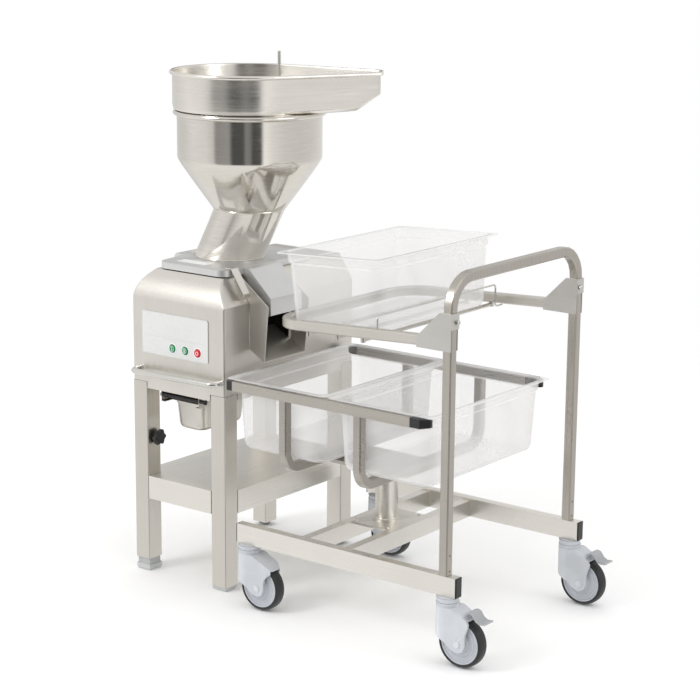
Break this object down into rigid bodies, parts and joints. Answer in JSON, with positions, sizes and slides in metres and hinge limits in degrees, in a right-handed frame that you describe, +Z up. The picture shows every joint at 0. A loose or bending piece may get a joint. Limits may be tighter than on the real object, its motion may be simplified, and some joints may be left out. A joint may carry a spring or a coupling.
{
  "type": "vegetable cutting machine with pan trolley",
  "caption": "Floor-standing food cutting machine with feed hopper and teardrop tray, hinged head and side outlet, beside a wheeled trolley carrying clear food pans.",
  "frame": {"origin": "on the floor under the middle of the machine's front left levelling foot", "axes": "+X along the machine's front towards the trolley, +Y from the operator to the back, +Z up"},
  "size_m": [1.18, 0.6166, 1.412],
  "materials": {
    "steel": "satin brushed",
    "polished": "polished stainless",
    "cast": "fine cast",
    "black": "matte",
    "grey": "satin",
    "pale": "satin",
    "clear": "clear polycarbonate",
    "green": "gloss",
    "red": "gloss",
    "rubber": "matte",
    "panel": "satin label",
    "bracket": "matte"
  },
  "bodies": {
    "machine": {"leg_front_left": "steel", "leg_front_right": "steel", "leg_rear_left": "steel", "leg_rear_right": "steel", "lower_shelf": "steel", "housing_shell": "steel", "underplate": "steel", "stop_rod": "black", "carry_handle": "polished", "control_panel": "panel", "chamber_bowl": "cast", "motor": "grey", "discharge_chute": "steel"},
    "foot_left": {"levelling_foot_left": "pale"},
    "foot_right": {"levelling_foot_right": "pale"},
    "rear_wheel_left": {"leg_wheel_left": "black"},
    "rear_wheel_right": {"leg_wheel_right": "black"},
    "knob": {"lock_knob": "black"},
    "drip_tray": {"drip_pan": "steel"},
    "low_speed_key": {"button_low_speed": "green"},
    "high_speed_key": {"button_high_speed": "green"},
    "stop_key": {"button_stop": "red"},
    "head": {"head_lid": "cast", "feed_hopper": "polished"},
    "latch": {"lid_latch": "polished"},
    "tray": {"feed_tray": "polished"},
    "stirrer": {"stirrer_arm": "polished"},
    "rotor": {"drive_shaft": "cast", "cutting_disc": "polished"},
    "trolley": {"trolley_base_frame": "steel", "rail_plug_near_left": "black", "rail_plug_near_right": "black", "rail_plug_far_left": "black", "rail_plug_far_right": "black", "pan_frame": "steel", "bar_cap_near_left": "black", "bar_cap_near_right": "black", "bar_cap_far_left": "black", "bar_cap_far_right": "black", "push_handle": "steel", "top_shelf": "steel", "bracket_near": "bracket", "bracket_far": "bracket"},
    "pin_near": {"bracket_pin_near": "polished"},
    "pin_far": {"bracket_pin_far": "polished"},
    "hoop": {"wire_stop": "polished"},
    "left_pan": {"pan_left": "clear"},
    "right_pan": {"pan_right": "clear"},
    "upper_pan": {"pan_top": "clear"},
    "caster_near_left": {"caster_fork_near_left": "grey"},
    "wheel_near_left": {"caster_wheel_near_left": "rubber"},
    "caster_far_left": {"caster_fork_far_left": "grey"},
    "wheel_far_left": {"caster_wheel_far_left": "rubber"},
    "caster_near_right": {"caster_fork_near_right": "grey"},
    "wheel_near_right": {"caster_wheel_near_right": "rubber"},
    "pedal_near_right": {"brake_pedal_near_right": "grey"},
    "caster_far_right": {"caster_fork_far_right": "grey"},
    "wheel_far_right": {"caster_wheel_far_right": "rubber"},
    "pedal_far_right": {"brake_pedal_far_right": "grey"}
  },
  "joints": [
    {"name": "foot_left_adjust", "type": "slide", "parent": "machine", "child": "foot_left", "axis": [0, 0, -1], "range_m": [0, 0.015]},
    {"name": "foot_right_adjust", "type": "slide", "parent": "machine", "child": "foot_right", "axis": [0, 0, -1], "range_m": [0, 0.015]},
    {"name": "rear_wheel_left_spin", "type": "hinge", "parent": "machine", "child": "rear_wheel_left", "pos_m": [0, 0.493, 0.02], "axis": [1, 0, 0], "continuous": true},
    {"name": "rear_wheel_right_spin", "type": "hinge", "parent": "machine", "child": "rear_wheel_right", "pos_m": [0.275, 0.493, 0.02], "axis": [1, 0, 0], "continuous": true},
    {"name": "lock_knob_turn", "type": "hinge", "parent": "machine", "child": "knob", "pos_m": [0.0254, 0.005, 0.376], "axis": [1, 0, 0], "continuous": true},
    {"name": "drip_pan_pull", "type": "slide", "parent": "machine", "child": "drip_tray", "axis": [0, -1, 0], "range_m": [0, 0.24]},
    {"name": "low_speed_press", "type": "slide", "parent": "machine", "child": "low_speed_key", "axis": [0, 1, 0], "range_m": [0, 0.0018], "stiffness_N_per_m": 400},
    {"name": "high_speed_press", "type": "slide", "parent": "machine", "child": "high_speed_key", "axis": [0, 1, 0], "range_m": [0, 0.0018], "stiffness_N_per_m": 400},
    {"name": "stop_press", "type": "slide", "parent": "machine", "child": "stop_key", "axis": [0, 1, 0], "range_m": [0, 0.0018], "stiffness_N_per_m": 400},
    {"name": "head_open", "type": "hinge", "parent": "machine", "child": "head", "pos_m": [-0.003, 0.22, 0.848], "axis": [0, -1, 0], "range_deg": [0, 75]},
    {"name": "latch_open", "type": "hinge", "parent": "head", "child": "latch", "pos_m": [0.2515, 0.0525, 0.8592], "axis": [0, -1, 0], "range_deg": [0, 95]},
    {"name": "feed_tray_lift", "type": "slide", "parent": "head", "child": "tray", "axis": [0, 0, 1], "range_m": [0, 0.15]},
    {"name": "stirrer_turn", "type": "hinge", "parent": "head", "child": "stirrer", "pos_m": [0.189, 0.209, 1.15], "axis": [0, 0, 1], "continuous": true},
    {"name": "rotor_spin", "type": "hinge", "parent": "machine", "child": "rotor", "pos_m": [0.1375, 0.209, 0.79], "axis": [0, 0, 1], "continuous": true},
    {"name": "trolley_roll", "type": "slide", "parent": "machine", "child": "trolley", "axis": [1, 0, 0], "range_m": [0, 0.3]},
    {"name": "bracket_pin_near_pull", "type": "slide", "parent": "trolley", "child": "pin_near", "axis": [1, 0, 0], "range_m": [0, 0.03]},
    {"name": "bracket_pin_far_pull", "type": "slide", "parent": "trolley", "child": "pin_far", "axis": [1, 0, 0], "range_m": [0, 0.03]},
    {"name": "wire_stop_lift", "type": "slide", "parent": "trolley", "child": "hoop", "axis": [0, 0, 1], "range_m": [0, 0.06]},
    {"name": "pan_left_lift", "type": "slide", "parent": "trolley", "child": "left_pan", "axis": [0, 0, 1], "range_m": [0, 0.018]},
    {"name": "pan_right_lift", "type": "slide", "parent": "trolley", "child": "right_pan", "axis": [0, 0, 1], "range_m": [0, 0.14]},
    {"name": "pan_top_lift", "type": "slide", "parent": "trolley", "child": "upper_pan", "axis": [0, 0, 1], "range_m": [0, 0.25]},
    {"name": "swivel_near_left", "type": "hinge", "parent": "trolley", "child": "caster_near_left", "pos_m": [0.4095, -0.0571, 0.15], "axis": [0, 0, 1], "continuous": true},
    {"name": "roll_near_left", "type": "hinge", "parent": "caster_near_left", "child": "wheel_near_left", "pos_m": [0.455, -0.0571, 0.0625], "axis": [0, 1, 0], "continuous": true},
    {"name": "swivel_far_left", "type": "hinge", "parent": "trolley", "child": "caster_far_left", "pos_m": [0.4095, 0.5015, 0.15], "axis": [0, 0, 1], "continuous": true},
    {"name": "roll_far_left", "type": "hinge", "parent": "caster_far_left", "child": "wheel_far_left", "pos_m": [0.455, 0.5015, 0.0625], "axis": [0, 1, 0], "continuous": true},
    {"name": "swivel_near_right", "type": "hinge", "parent": "trolley", "child": "caster_near_right", "pos_m": [1.035, -0.0571, 0.15], "axis": [0, 0, 1], "continuous": true},
    {"name": "roll_near_right", "type": "hinge", "parent": "caster_near_right", "child": "wheel_near_right", "pos_m": [1.0805, -0.0571, 0.0625], "axis": [0, 1, 0], "continuous": true},
    {"name": "brake_near_right", "type": "hinge", "parent": "caster_near_right", "child": "pedal_near_right", "pos_m": [1.099, -0.0571, 0.136], "axis": [0, 1, 0], "range_deg": [0, 10], "stiffness_Nm_per_rad": 2},
    {"name": "swivel_far_right", "type": "hinge", "parent": "trolley", "child": "caster_far_right", "pos_m": [1.035, 0.5015, 0.15], "axis": [0, 0, 1], "continuous": true},
    {"name": "roll_far_right", "type": "hinge", "parent": "caster_far_right", "child": "wheel_far_right", "pos_m": [1.0805, 0.5015, 0.0625], "axis": [0, 1, 0], "continuous": true},
    {"name": "brake_far_right", "type": "hinge", "parent": "caster_far_right", "child": "pedal_far_right", "pos_m": [1.099, 0.5015, 0.136], "axis": [0, 1, 0], "range_deg": [0, 10], "stiffness_Nm_per_rad": 2}
  ]
}
